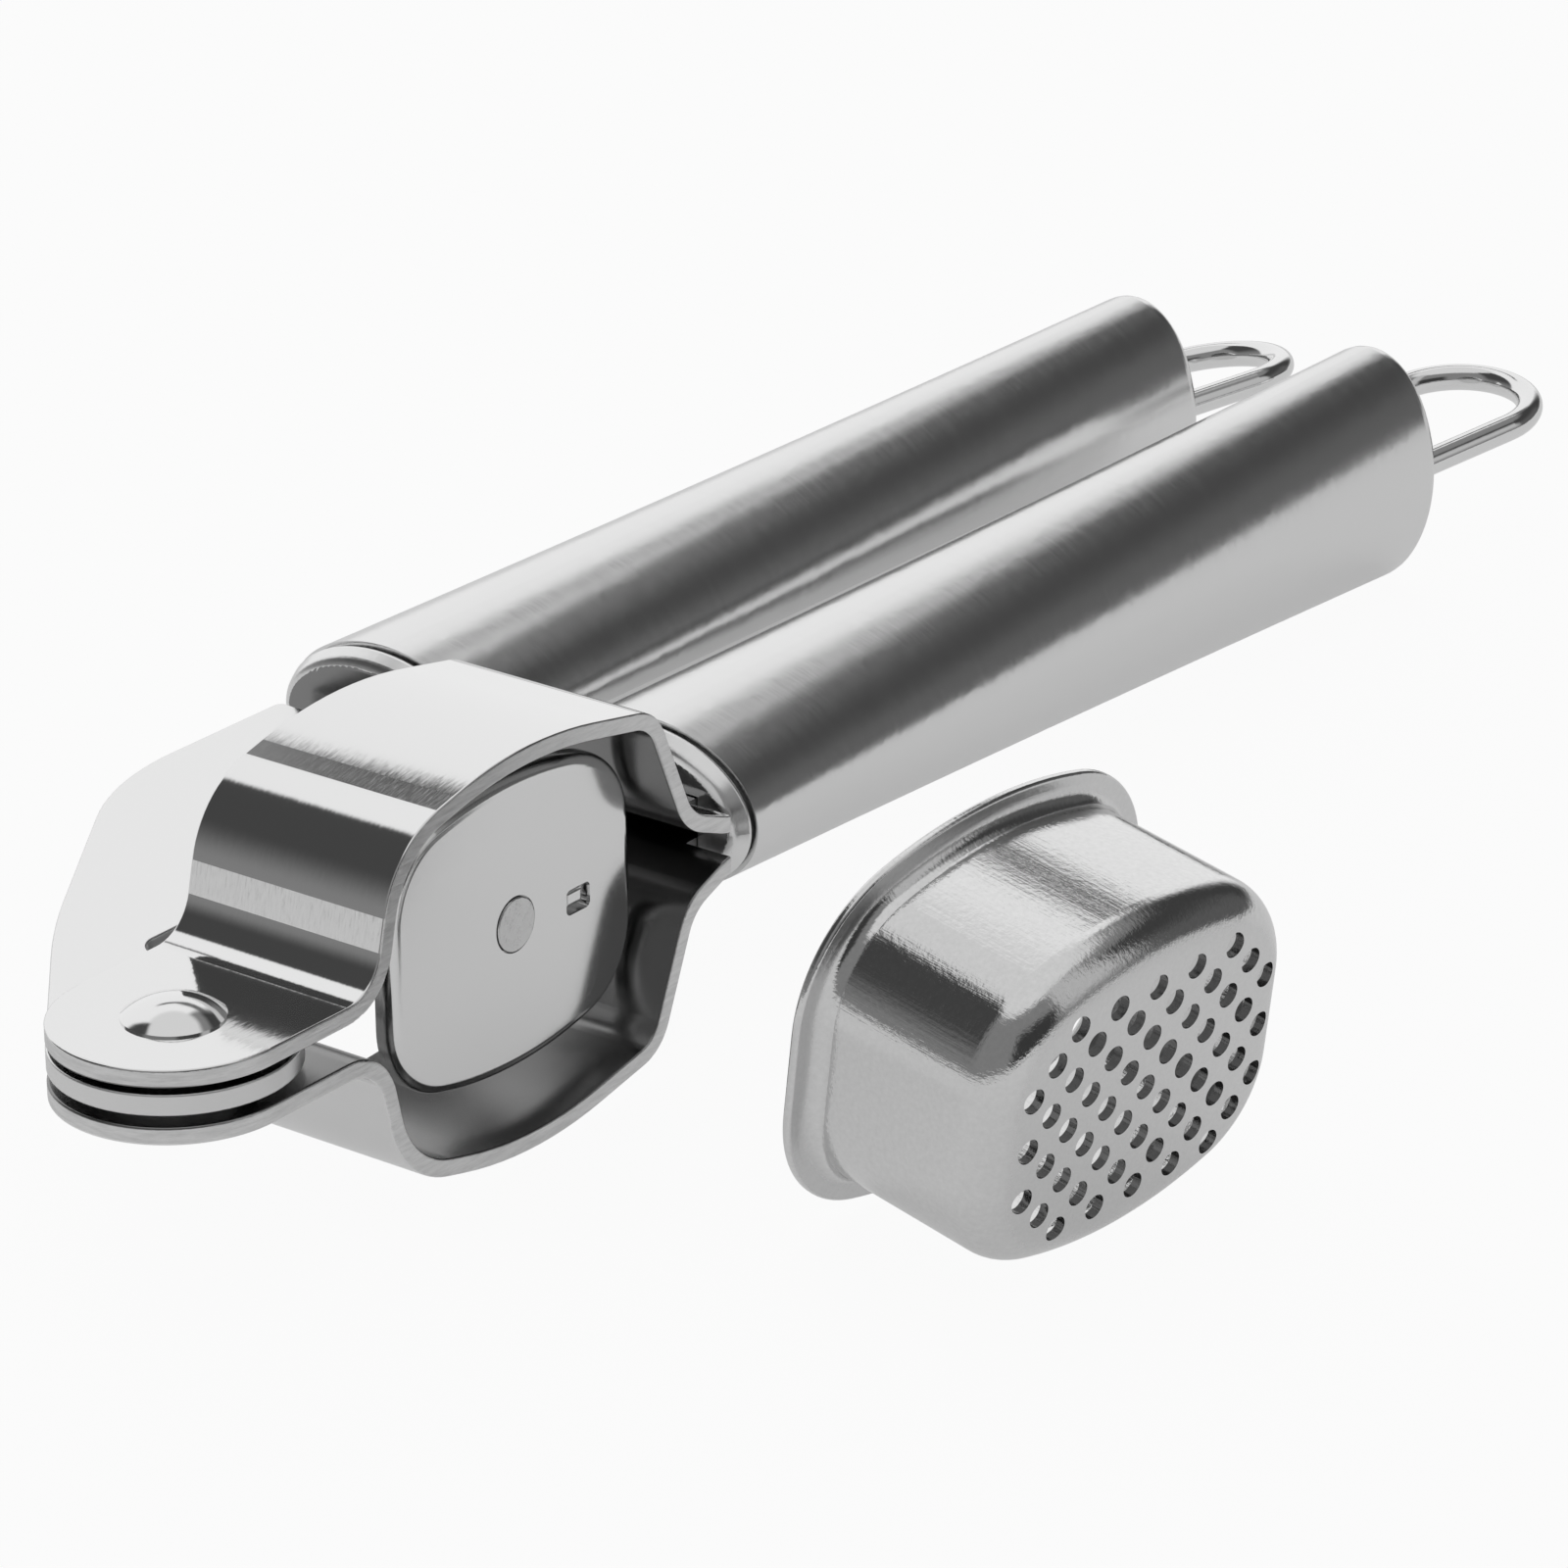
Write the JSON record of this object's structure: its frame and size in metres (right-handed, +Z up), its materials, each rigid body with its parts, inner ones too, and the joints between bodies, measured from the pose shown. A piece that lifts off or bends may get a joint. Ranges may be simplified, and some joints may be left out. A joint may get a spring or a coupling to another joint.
{
  "type": "garlic press",
  "caption": "Steel garlic press with two tubular handles on a riveted pivot, a ring of bent strip, a swivelling plunger and a loose perforated basket.",
  "frame": {"origin": "on the table, under the middle of the whole as it lies", "axes": "+X from the pivot towards the handles' loops, +Y towards the swinging arm's side, +Z up off the table"},
  "size_m": [0.1954, 0.1016, 0.0344],
  "materials": {
    "polished_strip": "mirror-polished stainless strip with a faint lengthwise grain and satin cut edges",
    "satin_tube": "satin stainless tube, brushed round, pressed from a lying oval in front to a standing oval at the rear",
    "turned_polish": "polished turned stainless",
    "polished_wire": "polished stainless wire",
    "satin_plate": "satin stainless sheet, fine matt blast",
    "drawn_basket": "bright deep-drawn stainless sheet"
  },
  "bodies": {
    "frame": {"upper_strip": "polished_strip", "lower_strip": "polished_strip", "pivot_rivet": "turned_polish", "upper_pivot_washer": "turned_polish", "lower_pivot_washer": "turned_polish", "frame_handle_tube": "satin_tube", "frame_front_cap": "turned_polish", "frame_loop": "polished_wire", "frame_loop_anchor": "turned_polish"},
    "arm": {"arm_plate": "polished_strip", "arm_handle_tube": "satin_tube", "arm_front_cap": "turned_polish", "arm_loop": "polished_wire", "arm_loop_anchor": "turned_polish"},
    "plunger": {"plunger_plate": "satin_plate", "plunger_bracket": "satin_plate", "plunger_rivet": "turned_polish", "plunger_hinge_pin": "turned_polish"},
    "basket": {"basket": "drawn_basket"}
  },
  "joints": [
    {"name": "arm_pivot", "type": "hinge", "parent": "frame", "child": "arm", "pos_m": [-0.08782, 0.01055, 0.0186], "axis": [0.0448, 0, 0.999], "range_deg": [0, 110]},
    {"name": "plunger_swivel", "type": "hinge", "parent": "arm", "child": "plunger", "pos_m": [-0.05405, 0.01335, 0.01729], "axis": [0.0448, 0, 0.999], "range_deg": [-6, 1]},
    {"name": "basket_lift", "type": "slide", "parent": "frame", "child": "basket", "axis": [0, 0, 1], "range_m": [0, 0.06]}
  ]
}
